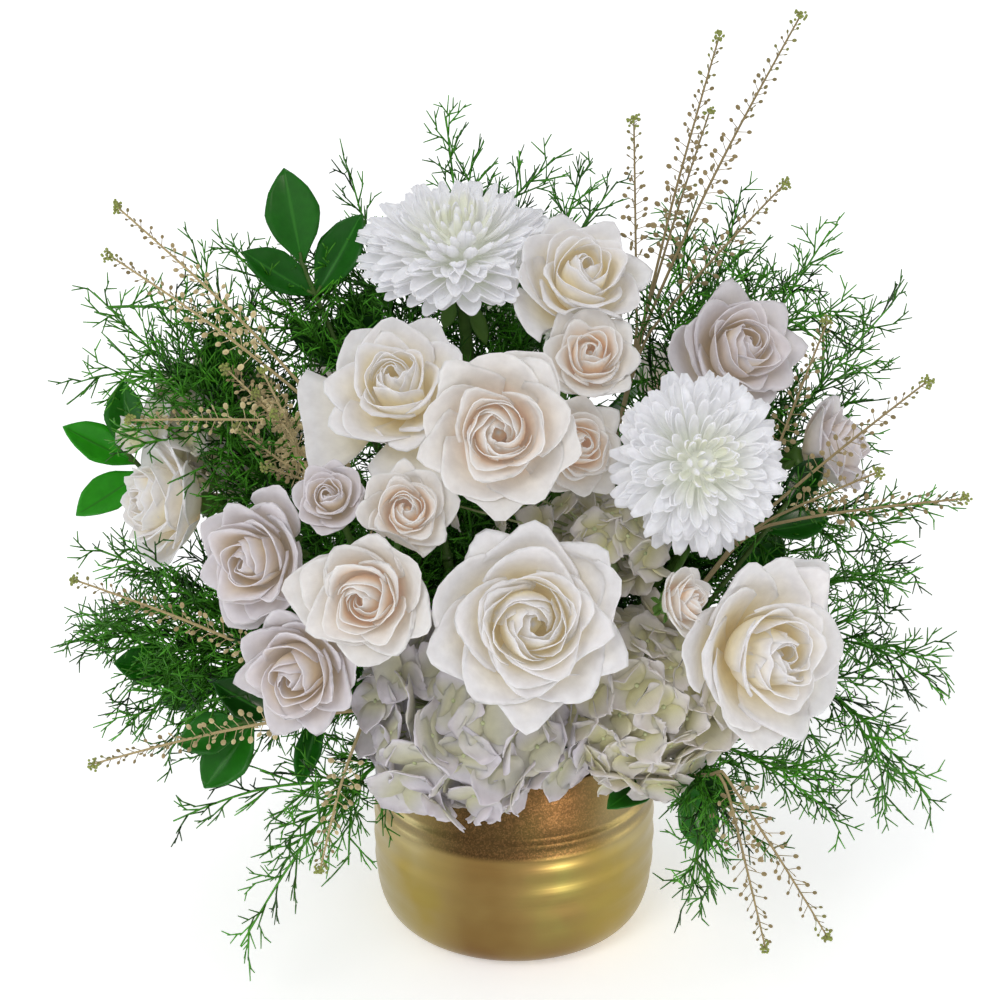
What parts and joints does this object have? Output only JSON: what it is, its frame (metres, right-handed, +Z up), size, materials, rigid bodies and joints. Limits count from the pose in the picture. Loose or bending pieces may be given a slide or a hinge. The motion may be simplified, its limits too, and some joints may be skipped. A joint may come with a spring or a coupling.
{
  "type": "floral table centerpiece",
  "caption": "Table centerpiece: white roses, spray roses, chrysanthemums and hydrangeas with fern fronds, leaves and dried seed sprays, standing in foam in a round gold pot.",
  "frame": {"origin": "middle of the pot's flat underside, on the table", "axes": "+Z up along the pot's axis, front of the arrangement towards -Y, its left as seen from the front towards -X"},
  "size_m": [0.4309, 0.3108, 0.461],
  "materials": {
    "gold": "satin, brushed round",
    "foam": "matte, open-celled",
    "white": "soft petal, ivory white",
    "cream": "soft petal, cream",
    "blush": "soft petal, pale blush",
    "lilac": "soft petal, white with a cool tint",
    "stem": "fresh green stem, satin",
    "fern": "fresh green foliage, matte",
    "leaf": "fresh dark green leaf, glossy",
    "straw": "dried, matte straw"
  },
  "bodies": {
    "root": {"pot": "gold", "floral_foam": "foam", "stem_rose_front": "stem", "stem_rose_right": "stem", "stem_rose_centre": "stem", "stem_rose_upper_left": "stem", "stem_rose_left": "stem", "stem_mum_right": "stem", "stem_mum_top": "stem", "stem_mum_back": "stem", "stem_rose_back": "stem", "stem_spray_left": "stem", "stem_spray_centre": "stem", "stem_spray_right": "stem", "rose_front": "white", "spray_rose_mid": "blush", "rose_right": "white", "rose_centre": "cream", "spray_rose_low": "blush", "spray_rose_left": "blush", "mum_right": "white", "rose_upper_left": "cream", "spray_rose_small": "blush", "spray_rose_bud": "blush", "rose_bud_right": "blush", "spray_rose_behind": "cream", "spray_rose_upper": "cream", "spray_rose_top": "cream", "spray_rose_right": "blush", "mum_top": "white", "rose_left": "white", "spray_rose_far_right": "cream", "rose_back_left": "white", "rose_back_right": "cream", "mum_back": "white", "hydrangea_front": "lilac", "hydrangea_right": "lilac", "hydrangea_centre": "lilac", "hydrangea_left": "lilac", "hydrangea_back": "lilac", "leafy_top": "leaf", "leafy_left": "leaf", "leafy_left_low": "leaf", "leafy_front_right": "leaf", "leafy_back": "leaf", "pennycress_left_high": "straw", "pennycress_left_low": "straw", "pennycress_top": "straw", "pennycress_right": "straw", "pennycress_low_right": "straw", "fern_left_high": "fern", "fern_top_left": "fern", "fern_top": "fern", "fern_right_high": "fern", "fern_right": "fern", "fern_right_low": "fern", "fern_front_right": "fern", "fern_left_low": "fern", "fern_front_left": "fern", "fern_back": "fern"}
  },
  "joints": []
}
